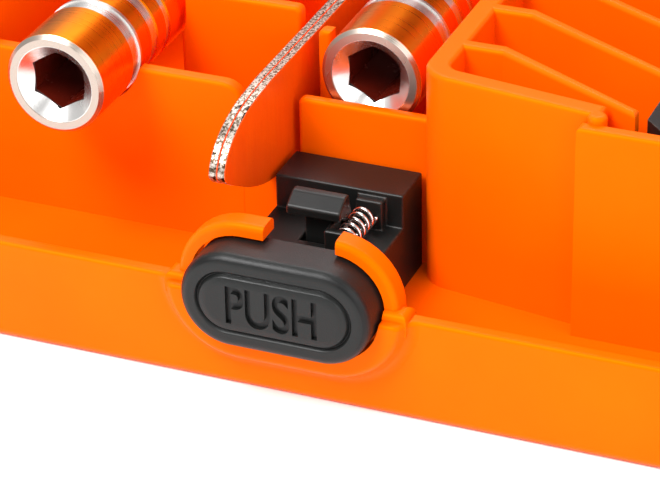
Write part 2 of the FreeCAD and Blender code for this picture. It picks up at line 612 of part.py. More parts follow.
def socket_insert(label, side, front):
    """A steel insert with a hexagon socket, countersunk at its mouth."""
    body = rod(f"{label}_body", side, f"{front}+insert_face", f"{front}+insert_length", "tool_level",
               "insert_radius")
    socket = hex_rod(f"{label}_hex", side, front, f"{front}+hex_depth", "tool_level", "hex_across")
    sink = cone(f"{label}_sink", side, f"{front}+insert_face", f"{front}+insert_face+hex_sink",
                "tool_level", "insert_radius-0.05", "hex_across/2")
    well = rod(f"{label}_well", side, f"{front}+hex_depth-0.1", f"{front}+hex_depth+magnet_length",
               "tool_level", "magnet_radius")
    return finish(cut(label, body, [socket, sink, well]), label)


def magnet(label, side, front):
    return finish(rod(label, side, f"{front}+hex_depth", f"{front}+hex_depth+magnet_length", "tool_level",
                      "magnet_radius"), label)


def handle():
    side, front = "-handle_side", "handle_front"
    sleeve_end = SLEEVE_BACK
    sleeve = tube("handle_tube", side, front, sleeve_end, "tool_radius", "insert_radius-tube_step")
    wide = rod("handle_front_bore", side, f"{front}-1", f"{front}+insert_length", "tool_level",
               "insert_radius")
    finish(cut("handle_sleeve", sleeve, [wide]), "handle_sleeve")
    socket_insert("handle_socket", side, front)
    magnet("handle_magnet", side, front)
    bush = rod("bush_body", side, f"{sleeve_end}-bush_length", sleeve_end, "tool_level",
               "insert_radius-tube_step")
    bush_bore = rod("bush_bore", side, f"{sleeve_end}-20", f"{sleeve_end}+1", "tool_level",
                    "journal_radius+journal_play")
    finish(cut("handle_bush", bush, [bush_bore]), "handle_bush")
    cap = rod("cap_body", side, f"{sleeve_end}+cap_gap", HANDLE_BACK, "tool_level",
              "tool_radius")
    seat = rod("cap_seat", side, f"{sleeve_end}-1", f"{sleeve_end}+cap_length/2", "tool_level",
               "journal_radius")
    journal = rod("cap_journal", side, f"{sleeve_end}-journal_length", f"{sleeve_end}+cap_length/2",
                  "tool_level", "journal_radius")
    head = rod("cap_journal_head", side, f"{sleeve_end}-journal_length-head_length/2",
               f"{sleeve_end}-journal_length+head_length/2", "tool_level", "journal_radius+head_rim")
    finish(cut("handle_cap", cap, [seat]), "handle_cap")
    finish(fuse("cap_axle", [journal, head]), "cap_axle")


def extension():
    side, front = "extension_side", "extension_front"
    back = EXTENSION_BACK
    sleeve = tube("extension_tube", side, front, back, "tool_radius", "bit_across/sqrt(3)")
    wide = rod("extension_front_bore", side, f"{front}-1", f"{front}+insert_length", "tool_level",
               "insert_radius")
    finish(cut("extension_sleeve", sleeve, [wide]), "extension_sleeve")
    socket_insert("extension_socket", side, front)
    magnet("extension_magnet", side, front)
    finish(hex_rod("extension_shank", side, f"{back}-shank_grip", f"{back}+shank_length", "tool_level",
                   "bit_across"), "extension_shank")


def tweezers():
    """Two blades on edge, curved to a broad tip that hangs over the front of the slot."""
    straight = [("blade_tip+9", "blade_top"), (BLADE_END, "blade_top"), (BLADE_END, "blade_low+1"),
                (f"{BLADE_END}-1", "blade_low"), ("blade_tip+12", "blade_low")]
    curved = [straight[-1], ("blade_tip+7.6", "blade_low+0.4"), ("blade_tip+4.2", "blade_low+1.7"),
              ("blade_tip+1.4", "tip_low-1.3"), ("blade_tip", "tip_low"), ("blade_tip+0.25", "tip_top"),
              ("blade_tip+2.2", "blade_top-1.2"), ("blade_tip+4.9", "blade_top-0.35"), straight[0]]
    points, bow = [[(value(f"{FRONT}+{y}"), value(z)) for y, z in outline] for outline in (straight, curved)]
    for label, offset in (("tweezer_blade_left", "-blade_seam-blade_thick"),
                          ("tweezer_blade_right", "-blade_seam")):
        blade = body_profile(label, "YZ_Plane", points, "blade_thick", curved=bow)
        bind(blade, "Placement.Base.x", offset)
        finish(blade, label)


def hexagon(radius):
    """A closed hexagon wire about the origin, from its corner radius."""
    circle = Part.makeCircle(radius)
    return Part.makePolygon([circle.valueAt(math.radians(60 * corner)) for corner in range(7)])


def bit_shape(kind):
    """One bit standing on its shank, with its tip at the top."""
    across, length, tip_length = value("bit_across"), value("bit_length"), value("bit_tip")
    grip, shaft, flat = value("bit_grip"), value("bit_shaft"), value("flat_thick")
    tip_start = FreeCAD.Vector(0, 0, length - tip_length)
    shank = Part.Face(hexagon(across / math.sqrt(3))).extrude(FreeCAD.Vector(0, 0, grip))
    neck = Part.makeCone(across / 2, shaft, across / 2, FreeCAD.Vector(0, 0, grip))
    stem = Part.makeCylinder(shaft, length - grip - tip_length, FreeCAD.Vector(0, 0, grip))
    if kind == "flat":
        tip = Part.makeBox(2 * shaft, flat, tip_length, tip_start + FreeCAD.Vector(-shaft, -flat / 2, 0))
        tip = tip.common(Part.makeCylinder(shaft, length))
    elif kind == "cross":
        tip = Part.makeCone(shaft * 0.8, value("point_radius"), tip_length, tip_start)
    elif kind == "hex":
        tip = Part.makeCylinder(shaft * 0.72, tip_length, tip_start)
    else:
        tip = Part.makeCone(shaft * 0.75, shaft * 0.68, tip_length, tip_start)
    return shank.fuse([neck, stem, tip]).removeSplitter()


def rack(label, left, right, near, far, columns, rows, kinds):
    """A black block with a grid of hexagon pockets, and the bits that stand in it, by kind."""
    blank = block(f"{label}_block", left, right, near, far, "tray_floor", "rack_top")
    doc.recompute()
    soft = doc.addObject("Part::Chamfer", f"{label}_soft")
    soft.Base = blank
    upright = [number for number, edge in enumerate(blank.Shape.Edges, start=1) if along(UP)(edge)]
    size = value("rack_chamfer")
    soft.Edges = [(number, size, size) for number in upright]
    pitch = value("bit_pitch")
    columns = min(columns, int(value(f"({right})-({left})") / pitch))
    rows = min(rows, int(value(f"({far})-({near})") / pitch))
    middle_x = value(f"({left}+{right})/2")
    middle_y = value(f"{FRONT}+({near}+{far})/2")
    depth = value("rack_top-bit_seat")
    pocket = Part.Face(hexagon(value("(bit_across/2+bit_play)*2/sqrt(3)")))
    pocket = pocket.extrude(FreeCAD.Vector(0, 0, depth + 1))
    grid = [(column, row) for row in range(rows) for column in range(columns)]
    spots = {(column, row): FreeCAD.Vector(middle_x + (column - (columns - 1) / 2) * pitch,
                                          middle_y + (row - (rows - 1) / 2) * pitch, value("bit_seat"))
             for column, row in grid}
    pockets = doc.addObject("Part::Feature", f"{label}_pockets")
    pockets.Shape = Part.makeCompound([pocket.translated(spot) for spot in spots.values()])
    finish(cut(label, soft, [pockets]), label)
    for kind in sorted(set(kinds)):
        shape = bit_shape(kind)
        standing = [shape.translated(spots[spot]) for spot in grid if kinds[spot[1]] == kind]
        item = doc.addObject("Part::Feature", f"{label}_bits_{kind}")
        item.Shape = Part.makeCompound(standing)
        finish(item, f"{label}_bits_{kind}")


def racks():
    right_edge = "case_width/2-tray_inset-tray_wall-rack_play"
    left_edge = "-case_width/2+tray_inset+tray_wall+rack_play"
    middle = f"(rack_front+{BIN_BACK})/2"
    rear = f"{BIN_BACK}-rack_play"
    rack("rack_right_front", "rack_left", right_edge, "rack_front", f"{middle}-rack_play/2", 4, 6,
         ("cross", "cross", "flat", "flat", "star", "star"))
    rack("rack_right_rear", "rack_left", right_edge, f"{middle}+rack_play/2", rear, 4, 6,
         ("star", "star", "hex", "cross", "flat", "hex"))
    near = "step_front+tray_wall+rack_play"
    middle = f"(step_front+{BIN_BACK})/2"
    rack("rack_left_front", left_edge, "-left_bin-rack_play", near, f"{middle}-rack_play/2", 3, 6,
         ("hex", "hex", "star", "star", "cross", "cross"))
    rack("rack_left_rear", left_edge, "-left_bin-rack_play", f"{middle}+rack_play/2", rear, 3, 6,
         ("flat", "flat", "hex", "star", "cross", "star"))


base_shell()
tray_insert()
latch_housing()
latch_spring()
hinge_pin()
lid_shell()
lid_pad()
button_cap()
latch_slider()
handle()
extension()
tweezers()
racks()

doc.recompute()
for item in doc.Objects:
    if "Invalid" in item.State or "Error" in item.State:
        raise RuntimeError(f"{item.Label} did not build")

os.makedirs("parts", exist_ok=True)
for item in nodes:
    if item.Shape.isNull() or not item.Shape.isValid():
        raise RuntimeError(f"{item.Label} has no valid shape")
    item.Shape.exportStep(f"parts/{item.Label}.step")
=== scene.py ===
import json
import math
import bmesh
import bpy
import numpy as np
from mathutils import Matrix, Vector

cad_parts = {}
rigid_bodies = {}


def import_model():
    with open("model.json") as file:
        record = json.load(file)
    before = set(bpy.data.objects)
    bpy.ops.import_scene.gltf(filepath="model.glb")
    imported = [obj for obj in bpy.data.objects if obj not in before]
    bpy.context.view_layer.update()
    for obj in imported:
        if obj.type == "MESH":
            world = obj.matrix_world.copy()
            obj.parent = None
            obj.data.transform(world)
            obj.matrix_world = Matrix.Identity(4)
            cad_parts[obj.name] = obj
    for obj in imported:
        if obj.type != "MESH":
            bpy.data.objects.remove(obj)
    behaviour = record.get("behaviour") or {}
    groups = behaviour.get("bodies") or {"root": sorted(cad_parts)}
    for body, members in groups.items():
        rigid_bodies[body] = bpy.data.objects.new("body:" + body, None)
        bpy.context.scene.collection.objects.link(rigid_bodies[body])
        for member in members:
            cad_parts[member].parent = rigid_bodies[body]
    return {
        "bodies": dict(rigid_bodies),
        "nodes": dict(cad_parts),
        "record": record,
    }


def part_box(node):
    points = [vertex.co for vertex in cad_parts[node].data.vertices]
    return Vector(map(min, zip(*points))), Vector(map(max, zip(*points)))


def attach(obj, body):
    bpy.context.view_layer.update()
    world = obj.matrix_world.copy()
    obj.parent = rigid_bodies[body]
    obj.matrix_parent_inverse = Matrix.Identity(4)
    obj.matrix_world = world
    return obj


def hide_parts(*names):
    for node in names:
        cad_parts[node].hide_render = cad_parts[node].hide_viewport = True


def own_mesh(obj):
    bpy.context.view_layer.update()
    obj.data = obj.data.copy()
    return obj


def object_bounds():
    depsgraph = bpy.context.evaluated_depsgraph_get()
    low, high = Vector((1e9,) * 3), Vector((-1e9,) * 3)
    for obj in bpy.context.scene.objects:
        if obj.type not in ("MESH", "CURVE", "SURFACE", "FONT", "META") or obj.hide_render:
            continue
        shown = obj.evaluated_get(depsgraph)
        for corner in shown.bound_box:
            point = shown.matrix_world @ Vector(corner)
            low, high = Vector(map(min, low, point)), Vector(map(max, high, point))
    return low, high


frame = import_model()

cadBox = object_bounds()
mm = 0.001
scene = bpy.context.scene
lowest = Vector(cadBox[0])
bossOut = 1.3 * mm                                          # how far the boss stands out of the front wall
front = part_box("base_shell")[0][1] + bossOut                # the front wall's outer face
slotOf = {part["node"]: part["material_slot"] for part in frame["record"]["subparts"]}
bodyOf = {name: next(body for body, empty in frame["bodies"].items() if node.parent is empty)
          for name, node in frame["nodes"].items()}
print("frame loaded")


# --- shader groups: each puts out masks, colours or heights only

def newGroup(name, inputs, outputs):
    # a node group with named sockets, and its nodes, links, input node and output node
    group = bpy.data.node_groups.new(name, "ShaderNodeTree")
    for label, kind, default in inputs:
        socket = group.interface.new_socket(name=label, in_out="INPUT", socket_type=kind)
        if default is not None:
            socket.default_value = default
    for label, kind in outputs:
        group.interface.new_socket(name=label, in_out="OUTPUT", socket_type=kind)
    return (group, group.nodes, group.links, group.nodes.new("NodeGroupInput"),
            group.nodes.new("NodeGroupOutput"))


def mathNode(nodes, links, operation, first, second=None, clamp=False):
    # a Math node on two values or sockets; gives its output
    node = nodes.new("ShaderNodeMath")
    node.operation = operation
    node.use_clamp = clamp
    for socket, value in zip(node.inputs, (first, second)):
        if isinstance(value, bpy.types.NodeSocket):
            links.new(value, socket)
        elif value is not None:
            socket.default_value = value
    return node.outputs[0]


def noiseNode(nodes, links, vector, scale, detail=2.0, roughness=0.5):
    node = nodes.new("ShaderNodeTexNoise")
    node.inputs["Detail"].default_value = detail
    node.inputs["Roughness"].default_value = roughness
    if isinstance(scale, bpy.types.NodeSocket):
        links.new(scale, node.inputs["Scale"])
    else:
        node.inputs["Scale"].default_value = scale
    links.new(vector, node.inputs["Vector"])
    return node.outputs["Fac"]


def mixColors(nodes, links, factor, first, second):
    node = nodes.new("ShaderNodeMix")
    node.data_type = "RGBA"
    colorSockets = (node.inputs[0], node.inputs[6], node.inputs[7])
    for socket, value in zip(colorSockets, (factor, first, second)):
        if isinstance(value, bpy.types.NodeSocket):
            links.new(value, socket)
        else:
            socket.default_value = value if isinstance(value, (int, float)) else (*value, 1)
    return node.outputs[2]


def makeGrainGroup():
    # fine moulded grain over slow unevenness: Height for bump, Cloud for colour and gloss
    group, nodes, links, start, end = newGroup(
        "mouldedGrain", [("Vector", "NodeSocketVector", None), ("Grain Scale", "NodeSocketFloat", 6000.0),
                         ("Cloud Scale", "NodeSocketFloat", 120.0)],
        [("Height", "NodeSocketFloat"), ("Cloud", "NodeSocketFloat")])
    fine = noiseNode(nodes, links, start.outputs["Vector"], start.outputs["Grain Scale"], 3.0, 0.6)
    slow = noiseNode(nodes, links, start.outputs["Vector"], start.outputs["Cloud Scale"], 4.0, 0.55)
    links.new(mathNode(nodes, links, "ADD", fine, mathNode(nodes, links, "MULTIPLY", slow, 0.6)),
              end.inputs["Height"])
    links.new(slow, end.inputs["Cloud"])
    return group


wearSettings = {"sharpness": 6.0, "patches": 1800.0, "patchFrom": 0.42, "patchContrast": 5.0}


def makeWearGroup():
    # rubbed edges: how far the rounded normal leaves the true one, broken up by noise
    s = wearSettings
    group, nodes, links, start, end = newGroup(
        "edgeWear", [("Vector", "NodeSocketVector", None), ("Reach", "NodeSocketFloat", 0.0002),
                     ("Amount", "NodeSocketFloat", 1.0)], [("Mask", "NodeSocketFloat")])
    bevel = nodes.new("ShaderNodeBevel")
    bevel.samples = 4
    links.new(start.outputs["Reach"], bevel.inputs["Radius"])
    shape = nodes.new("ShaderNodeNewGeometry")
    dot = nodes.new("ShaderNodeVectorMath")
    dot.operation = "DOT_PRODUCT"
    links.new(bevel.outputs["Normal"], dot.inputs[0])
    links.new(shape.outputs["Normal"], dot.inputs[1])
    away = mathNode(nodes, links, "SUBTRACT", 1.0, dot.outputs["Value"])
    edge = mathNode(nodes, links, "MULTIPLY", away, s["sharpness"])
    broken = noiseNode(nodes, links, start.outputs["Vector"], s["patches"], 5.0, 0.7)
    above = mathNode(nodes, links, "SUBTRACT", broken, s["patchFrom"])
    patchy = mathNode(nodes, links, "MULTIPLY", edge,
                      mathNode(nodes, links, "MULTIPLY", above, s["patchContrast"], clamp=True))
    links.new(mathNode(nodes, links, "MULTIPLY", patchy, start.outputs["Amount"], clamp=True),
              end.inputs["Mask"])
    return group


def makeSpanGroup():
    # 1 where Value lies between Start and End, with an edge Soft wide
    group, nodes, links, start, end = newGroup(
        "span", [("Value", "NodeSocketFloat", 0.0), ("Start", "NodeSocketFloat", 0.0),
                 ("End", "NodeSocketFloat", 1.0), ("Soft", "NodeSocketFloat", 0.00003)],
        [("Mask", "NodeSocketFloat")])
    value, soft = start.outputs["Value"], start.outputs["Soft"]
    rise = mathNode(nodes, links, "DIVIDE",
                    mathNode(nodes, links, "SUBTRACT", value, start.outputs["Start"]), soft, clamp=True)
    fall = mathNode(nodes, links, "DIVIDE",
                    mathNode(nodes, links, "SUBTRACT", start.outputs["End"], value), soft, clamp=True)
    links.new(mathNode(nodes, links, "MULTIPLY", rise, fall), end.inputs["Mask"])
    return group


def makeTurnedGroup():
    # fine rings left by turning, about an axis along Y: noise that changes fast along Y only
    group, nodes, links, start, end = newGroup(
        "turnedRings", [("Vector", "NodeSocketVector", None), ("Pitch Scale", "NodeSocketFloat", 14000.0)],
        [("Height", "NodeSocketFloat")])
    spread = nodes.new("ShaderNodeVectorMath")
    spread.operation = "MULTIPLY"
    spread.inputs[1].default_value = (0.02, 1.0, 0.02)
    links.new(start.outputs["Vector"], spread.inputs[0])
    links.new(noiseNode(nodes, links, spread.outputs[0], start.outputs["Pitch Scale"], 2.0),
              end.inputs["Height"])
    return group


grainGroup = makeGrainGroup()
wearGroup = makeWearGroup()
spanGroup = makeSpanGroup()
turnedGroup = makeTurnedGroup()


def newMaterial(name):
    # a material with its Principled BSDF and Object coordinates
    material = bpy.data.materials.new(name)
    material.use_nodes = True
    nodes, links = material.node_tree.nodes, material.node_tree.links
    coordinates = nodes.new("ShaderNodeTexCoord")
    return material, nodes, links, nodes["Principled BSDF"], coordinates.outputs["Object"]


def useGroup(nodes, links, group, **values):
    # places a group; an argument is a named input's value or socket, with _ for a space
    node = nodes.new("ShaderNodeGroup")
    node.node_tree = group
    for label, value in values.items():
        socket = node.inputs[label.replace("_", " ")]
        if isinstance(value, bpy.types.NodeSocket):
            links.new(value, socket)
        else:
            socket.default_value = value
    return node


def addBump(nodes, links, shader, height, distance, strength):
    bump = nodes.new("ShaderNodeBump")
    bump.inputs["Strength"].default_value = strength
    bump.inputs["Distance"].default_value = distance
    links.new(height, bump.inputs["Height"])
    links.new(bump.outputs["Normal"], shader.inputs["Normal"])


def mapRange(nodes, links, value, low, high):
    # a 0 to 1 value spread over low to high
    node = nodes.new("ShaderNodeMapRange")
    links.new(value, node.inputs["Value"])
    node.inputs["To Min"].default_value = low
    node.inputs["To Max"].default_value = high
    return node.outputs["Result"]


# --- materials

orangeSettings = {"light": (1.0, 0.14, 0.0), "deep": (0.98, 0.106, 0.0), "rough": (0.34, 0.46),
                  "specular": 0.3, "glossTint": (1.0, 0.55, 0.0), "grain": 5200.0, "cloud": 90.0,
                  "bump": 0.006 * mm, "bumpStrength": 0.5}


def makeOrangePlastic():
    s = orangeSettings
    material, nodes, links, shader, place = newMaterial("orangePlastic")
    grain = useGroup(nodes, links, grainGroup, Vector=place, Grain_Scale=s["grain"], Cloud_Scale=s["cloud"])
    links.new(mixColors(nodes, links, grain.outputs["Cloud"], s["deep"], s["light"]),
              shader.inputs["Base Color"])
    links.new(mapRange(nodes, links, grain.outputs["Cloud"], *s["rough"]), shader.inputs["Roughness"])
    shader.inputs["Specular IOR Level"].default_value = s["specular"]
    shader.inputs["Specular Tint"].default_value = (*s["glossTint"], 1)
    addBump(nodes, links, shader, grain.outputs["Height"], s["bump"], s["bumpStrength"])
    return material


blackSettings = {"dusty": (0.008, 0.0085, 0.008), "worn": (0.14, 0.10, 0.075), "specular": 0.34,
                 "rough": (0.3, 0.5), "grain": 7000.0, "cloud": 260.0, "reach": 0.22 * mm,
                 "bumpStrength": 0.6,
                 "latch": {"base": (0.006, 0.006, 0.0055), "wear": 0.55, "bump": 0.012 * mm},
                 "button": {"base": (0.007, 0.0078, 0.0074), "wear": 0.0, "bump": 0.03 * mm}}


def makeBlackPlastic(name, use):
    # one black for the latch and racks, with rubbed edges, and one for the button, coarser and unworn
    s = {**blackSettings, **blackSettings[use]}
    material, nodes, links, shader, place = newMaterial(name)
    grain = useGroup(nodes, links, grainGroup, Vector=place, Grain_Scale=s["grain"], Cloud_Scale=s["cloud"])
    edge = useGroup(nodes, links, wearGroup, Vector=place, Reach=s["reach"], Amount=s["wear"])
    color = mixColors(nodes, links, grain.outputs["Cloud"], s["base"], s["dusty"])
    links.new(mixColors(nodes, links, edge.outputs["Mask"], color, s["worn"]), shader.inputs["Base Color"])
    links.new(mapRange(nodes, links, grain.outputs["Cloud"], *s["rough"]), shader.inputs["Roughness"])
    shader.inputs["Specular IOR Level"].default_value = s["specular"]
    addBump(nodes, links, shader, grain.outputs["Height"], s["bump"], s["bumpStrength"])
    return material


# painted shade for the engraved letters and the sunk line of the button
sunkShadeSettings = {"color": (0.0008, 0.0008, 0.0008), "from": 0.28, "to": 0.6, "facing": 0.6}


def paintSunkShade(material, node):
    # painted shade: the letters and the sunk line keep no light, so a darker colour is painted where the
    # front face lies deep
    s = sunkShadeSettings
    nodes, links = material.node_tree.nodes, material.node_tree.links
    shader = nodes["Principled BSDF"]
    coordinates, shape = nodes.new("ShaderNodeTexCoord"), nodes.new("ShaderNodeNewGeometry")
    place, facing = nodes.new("ShaderNodeSeparateXYZ"), nodes.new("ShaderNodeSeparateXYZ")
    links.new(coordinates.outputs["Object"], place.inputs[0])
    links.new(shape.outputs["True Normal"], facing.inputs[0])
    depth = mathNode(nodes, links, "SUBTRACT", place.outputs["Y"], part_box(node)[0][1])
    deep = useGroup(nodes, links, spanGroup, Value=depth, Start=s["from"] * mm,
                    End=s["to"] * mm).outputs["Mask"]
    forward = mathNode(nodes, links, "LESS_THAN", facing.outputs["Y"], -s["facing"])
    sunkShade = mathNode(nodes, links, "MULTIPLY", deep, forward)
    color = shader.inputs["Base Color"].links[0].from_socket
    # paints the shade colour into the letters and the sunk line
    links.new(mixColors(nodes, links, sunkShade, color, s["color"]), shader.inputs["Base Color"])


steelSettings = {"grain": 3000.0, "cloud": 700.0, "bump": 0.004 * mm, "bumpStrength": 0.5,
                 "springSteel": {"color": (0.8, 0.79, 0.77), "dull": (0.6, 0.59, 0.57),
                                 "rough": (0.14, 0.24)},
                 "bareSteel": {"color": (0.74, 0.73, 0.71), "dull": (0.5, 0.49, 0.47), "rough": (0.12, 0.26)},
                 "bronze": {"color": (0.55, 0.36, 0.16), "dull": (0.38, 0.24, 0.1), "rough": (0.3, 0.45)},
                 "bitSteel": {"color": (0.42, 0.42, 0.43), "dull": (0.3, 0.3, 0.31), "rough": (0.26, 0.38)}}


def makeSteel(name):
    # bare metal with fine turning rings, patchy in colour and gloss
    s = {**steelSettings, **steelSettings[name]}
    material, nodes, links, shader, place = newMaterial(name)
    rings = useGroup(nodes, links, turnedGroup, Vector=place)
    grain = useGroup(nodes, links, grainGroup, Vector=place, Grain_Scale=s["grain"], Cloud_Scale=s["cloud"])
    links.new(mixColors(nodes, links, grain.outputs["Cloud"], s["dull"], s["color"]),
              shader.inputs["Base Color"])
    links.new(mapRange(nodes, links, grain.outputs["Cloud"], *s["rough"]), shader.inputs["Roughness"])
    shader.inputs["Metallic"].default_value = 1.0
    addBump(nodes, links, shader, rings.outputs["Height"], s["bump"], s["bumpStrength"])
    return material


# ring is the bare metal of the end face, painted darker and pinkish than the bands: painted shade and painted
# orange reflection
anodisedSettings = {"orange": (1.0, 0.3, 0.004), "deepOrange": (1.0, 0.22, 0.002),
                    "bare": (0.82, 0.81, 0.79), "ring": (0.5, 0.42, 0.36), "rough": (0.22, 0.36),
                    "bands": ((5.3, 6.9), (8.9, 10.1), (11.5, 12.3)), "face": 0.3, "ahead": 1.0,
                    "rings": 9000.0, "grain": 2600.0, "cloud": 300.0, "bump": 0.004 * mm,
                    "bumpStrength": 0.6}                    # bands and face in mm behind the mouth


def makeAnodised(name, node, banded=True):
    # orange over aluminium, cut back to bare metal at the end face and at the turned bands; the end face's
    # bare metal is painted darker and pinkish as painted shade and painted orange reflection
    s = anodisedSettings
    material, nodes, links, shader, place = newMaterial(name)
    low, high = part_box(node)
    axes = nodes.new("ShaderNodeSeparateXYZ")
    links.new(place, axes.inputs[0])
    depth = mathNode(nodes, links, "SUBTRACT", axes.outputs["Y"], low[1])
    ring = useGroup(nodes, links, spanGroup, Value=depth, Start=-s["ahead"] * mm,
                    End=s["face"] * mm).outputs["Mask"]
    bare = ring
    for start, end in s["bands"] if banded else ():
        mask = useGroup(nodes, links, spanGroup, Value=depth, Start=start * mm, End=end * mm).outputs["Mask"]
        bare = mathNode(nodes, links, "MAXIMUM", bare, mask)
    rings = useGroup(nodes, links, turnedGroup, Vector=place, Pitch_Scale=s["rings"])
    grain = useGroup(nodes, links, grainGroup, Vector=place, Grain_Scale=s["grain"], Cloud_Scale=s["cloud"])
    coated = mixColors(nodes, links, grain.outputs["Cloud"], s["deepOrange"], s["orange"])
    # the end face takes the darker, pinkish ring colour: painted shade and painted orange reflection on bare
    # metal
    metal = mixColors(nodes, links, ring, s["bare"], s["ring"])
    links.new(mixColors(nodes, links, bare, coated, metal), shader.inputs["Base Color"])
    links.new(mapRange(nodes, links, rings.outputs["Height"], *s["rough"]), shader.inputs["Roughness"])
    shader.inputs["Metallic"].default_value = 1.0
    addBump(nodes, links, shader, rings.outputs["Height"], s["bump"], s["bumpStrength"])
    return material


tweezerSettings = {"coat": (1.0, 0.12, 0.0), "deepCoat": (0.9, 0.07, 0.0), "bare": (0.6, 0.52, 0.45),
                   "speck": (0.11, 0.07, 0.04), "edgeNormal": 0.55, "specks": 4200.0, "speckFrom": 0.44,
                   "speckContrast": 9.0, "streaks": 2600.0, "slant": 38, "stretch": 0.12,
                   "streakShare": 0.7, "rough": (0.22, 0.5), "bump": 0.03 * mm, "bumpStrength": 0.5}


def makeTweezers():
    # orange coat on the faces, ground bare along every edge face, speckled where coat is left in the grooves
    s = tweezerSettings
    material, nodes, links, shader, place = newMaterial("coatedSteel")
    shape = nodes.new("ShaderNodeNewGeometry")
    axes = nodes.new("ShaderNodeSeparateXYZ")
    links.new(shape.outputs["True Normal"], axes.inputs[0])
    flat = mathNode(nodes, links, "ABSOLUTE", axes.outputs["X"])
    edge = mathNode(nodes, links, "LESS_THAN", flat, s["edgeNormal"])
    specks = noiseNode(nodes, links, place, s["specks"], 4.0, 0.7)
    sharp = mathNode(nodes, links, "MULTIPLY", mathNode(nodes, links, "SUBTRACT", specks, s["speckFrom"]),
                     s["speckContrast"], clamp=True)
    ground = mixColors(nodes, links, sharp, s["speck"], s["bare"])
    slanted = nodes.new("ShaderNodeMapping")
    slanted.inputs["Rotation"].default_value = (math.radians(s["slant"]), 0, 0)
    slanted.inputs["Scale"].default_value = (1.0, 1.0, s["stretch"])
    links.new(place, slanted.inputs["Vector"])
    streaks = noiseNode(nodes, links, slanted.outputs[0], s["streaks"], 3.0, 0.6)
    coat = mixColors(nodes, links, streaks, s["deepCoat"], s["coat"])
    links.new(mixColors(nodes, links, edge, coat, ground), shader.inputs["Base Color"])
    links.new(edge, shader.inputs["Metallic"])
    links.new(mapRange(nodes, links, specks, *s["rough"]), shader.inputs["Roughness"])
    height = mathNode(nodes, links, "ADD", mathNode(nodes, links, "MULTIPLY", streaks, s["streakShare"]),
                      specks)
    addBump(nodes, links, shader, height, s["bump"], s["bumpStrength"])
    return material


# the colour for the hexagon is painted shade with a painted orange reflection
socketSettings = {"steel": (0.82, 0.8, 0.78), "insideShadeAndReflection": (0.16, 0.012, 0.005), "mouth": 0.92, "inner": 13.0,
                  "soft": 0.05, "dullInside": 0.6, "rough": (0.16, 0.34), "grain": 3000.0,
                  "cloud": 700.0, "bump": 0.02 * mm, "bumpStrength": 0.4}


def makeSocketSteel(name, node):
    # bright countersunk mouth, and behind it a hexagon with painted shade and a painted orange reflection,
    # dark red and less metallic
    s = socketSettings
    material, nodes, links, shader, place = newMaterial(name)
    axes = nodes.new("ShaderNodeSeparateXYZ")
    links.new(place, axes.inputs[0])
    depth = mathNode(nodes, links, "SUBTRACT", axes.outputs["Y"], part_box(node)[0][1])
    deep = useGroup(nodes, links, spanGroup, Value=depth, Start=s["mouth"] * mm, End=s["inner"] * mm,
                    Soft=s["soft"] * mm).outputs["Mask"]
    grain = useGroup(nodes, links, grainGroup, Vector=place, Grain_Scale=s["grain"], Cloud_Scale=s["cloud"])
    # the hexagon deep behind the mouth is painted dark red: painted shade and painted orange reflection
    links.new(mixColors(nodes, links, deep, s["steel"], s["insideShadeAndReflection"]), shader.inputs["Base Color"])
    dull = mathNode(nodes, links, "MULTIPLY", deep, s["dullInside"])
    links.new(mathNode(nodes, links, "SUBTRACT", 1.0, dull), shader.inputs["Metallic"])
    links.new(mapRange(nodes, links, grain.outputs["Cloud"], *s["rough"]), shader.inputs["Roughness"])
    addBump(nodes, links, shader, grain.outputs["Height"], s["bump"], s["bumpStrength"])
    return material


foamSettings = {"color": (0.02, 0.02, 0.022), "light": (0.05, 0.05, 0.052), "cell": 2200.0,
                "rough": 0.9, "bump": 0.25 * mm, "bumpStrength": 0.5}


def makeFoam():
    s = foamSettings
    material, nodes, links, shader, place = newMaterial("foam")
    cells = nodes.new("ShaderNodeTexVoronoi")
    cells.inputs["Scale"].default_value = s["cell"]
    links.new(place, cells.inputs["Vector"])
    links.new(mixColors(nodes, links, cells.outputs["Distance"], s["color"], s["light"]),
              shader.inputs["Base Color"])
    shader.inputs["Roughness"].default_value = s["rough"]
    addBump(nodes, links, shader, cells.outputs["Distance"], s["bump"], s["bumpStrength"])
    return material


materials = {
    "orange_plastic": makeOrangePlastic(),
    "black_plastic": makeBlackPlastic("blackPlastic", "latch"),
    "spring_steel": makeSteel("springSteel"),
    "bare_steel": makeSteel("bareSteel"),
    "bronze": makeSteel("bronze"),
    "bit_steel": makeSteel("bitSteel"),
    "coated_steel": makeTweezers(),
    "foam": makeFoam(),
}
ownMaterial = {node: makeAnodised(f"anodised_{node}", node, node != "handle_cap")
               for node in ("handle_sleeve", "extension_sleeve", "handle_cap")}
ownMaterial.update({node: makeSocketSteel(f"steel_{node}", node)
                    for node in ("handle_socket", "extension_socket")})
buttonMaterial = makeBlackPlastic("buttonPlastic", "button")
# the button's letters and sunk line get painted shade
paintSunkShade(buttonMaterial, "button_cap")


def materialFor(node):
    return ownMaterial.get(node) or materials[slotOf[node]]


for name, node in frame["nodes"].items():
    node.data.materials.clear()
    node.data.materials.append(materialFor(name))
print("materials made")


# --- pieces that stand for CAD nodes

def addPiece(name, mesh, node, material):
    # links a mesh as a piece that stands for a CAD node and rides on its body
    piece = bpy.data.objects.new(name, mesh)
    scene.collection.objects.link(piece)
    mesh.materials.clear()
    mesh.materials.append(material)
    mesh.polygons.foreach_set("use_smooth", [True] * len(mesh.polygons))
    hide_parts(node)
    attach(piece, bodyOf[node])
    return piece


def closeMesh(mesh, near):
    # joins points nearer than this and turns the faces outwards
    work = bmesh.new()
    work.from_mesh(mesh)
    bmesh.ops.remove_doubles(work, verts=work.verts, dist=near)
    bmesh.ops.recalc_face_normals(work, faces=work.faces)
    work.to_mesh(mesh)
    work.free()


